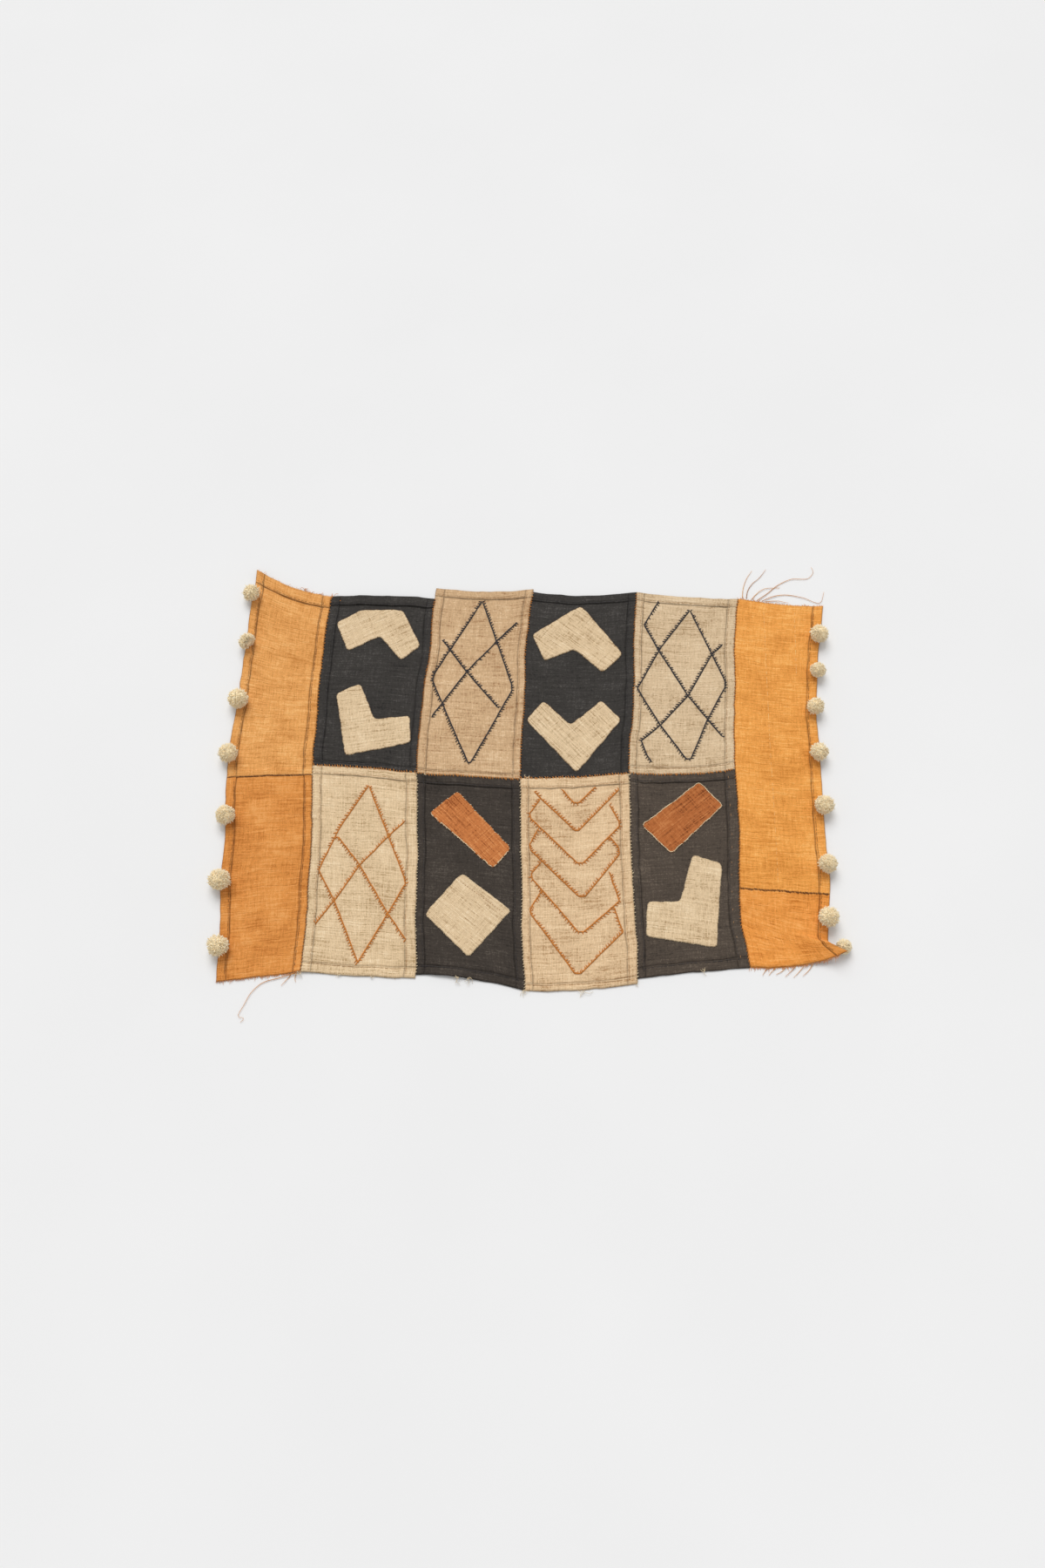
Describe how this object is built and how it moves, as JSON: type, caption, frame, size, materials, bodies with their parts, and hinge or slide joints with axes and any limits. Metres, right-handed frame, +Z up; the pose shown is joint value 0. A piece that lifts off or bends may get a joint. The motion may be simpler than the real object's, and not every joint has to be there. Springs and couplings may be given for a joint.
{
  "type": "patchwork raffia cloth",
  "caption": "Kuba raffia cloth lying flat: sewn black, cream and orange panels with applique patches, side pompoms, loose raffia ends and one raised corner.",
  "frame": {"origin": "on the surface the cloth lies on, under the middle of its overall outline, pompoms and loose ends included", "axes": "+X along the cloth's length towards its right side strip, +Y towards its upper edge, +Z up off the surface"},
  "size_m": [0.9299, 0.7366, 0.0301],
  "materials": {
    "black_raffia": "matt black-dyed plain weave",
    "brown_black_raffia": "matt, faded black-brown plain weave",
    "tan_raffia": "matt undyed tan plain weave with dark slubs",
    "beige_raffia": "matt undyed beige plain weave",
    "cream_raffia": "matt undyed cream plain weave",
    "peach_raffia": "matt undyed peach cream plain weave",
    "orange_raffia": "satin orange-dyed fine plain weave",
    "deep_orange_raffia": "satin deeper orange-dyed fine plain weave",
    "patch_raffia": "matt undyed cream patch cloth",
    "rust_raffia": "matt rust-dyed patch cloth",
    "pompom_raffia": "cut undyed raffia pile",
    "loose_raffia": "loose dyed raffia fibre"
  },
  "bodies": {
    "root": {"side_left_upper": "orange_raffia", "side_left_lower": "deep_orange_raffia", "side_right_upper": "orange_raffia", "side_right_lower": "deep_orange_raffia", "panel_upper_1": "black_raffia", "panel_upper_2": "tan_raffia", "panel_upper_3": "black_raffia", "panel_upper_4": "beige_raffia", "panel_lower_1": "cream_raffia", "panel_lower_2": "brown_black_raffia", "panel_lower_3": "peach_raffia", "panel_lower_4": "brown_black_raffia", "patch_upper_1_a": "patch_raffia", "patch_upper_1_b": "patch_raffia", "patch_upper_3_a": "patch_raffia", "patch_upper_3_b": "patch_raffia", "patch_lower_2_a": "rust_raffia", "patch_lower_2_b": "patch_raffia", "patch_lower_4_a": "rust_raffia", "patch_lower_4_b": "patch_raffia", "pompom_left_1": "pompom_raffia", "pompom_left_2": "pompom_raffia", "pompom_left_3": "pompom_raffia", "pompom_left_4": "pompom_raffia", "pompom_left_5": "pompom_raffia", "pompom_left_6": "pompom_raffia", "pompom_left_7": "pompom_raffia", "pompom_right_1": "pompom_raffia", "pompom_right_2": "pompom_raffia", "pompom_right_3": "pompom_raffia", "pompom_right_4": "pompom_raffia", "pompom_right_5": "pompom_raffia", "pompom_right_6": "pompom_raffia", "pompom_right_7": "pompom_raffia", "pompom_right_8": "pompom_raffia", "threads_upper_right": "loose_raffia", "threads_lower_right": "loose_raffia", "threads_lower_left": "loose_raffia"}
  },
  "joints": []
}
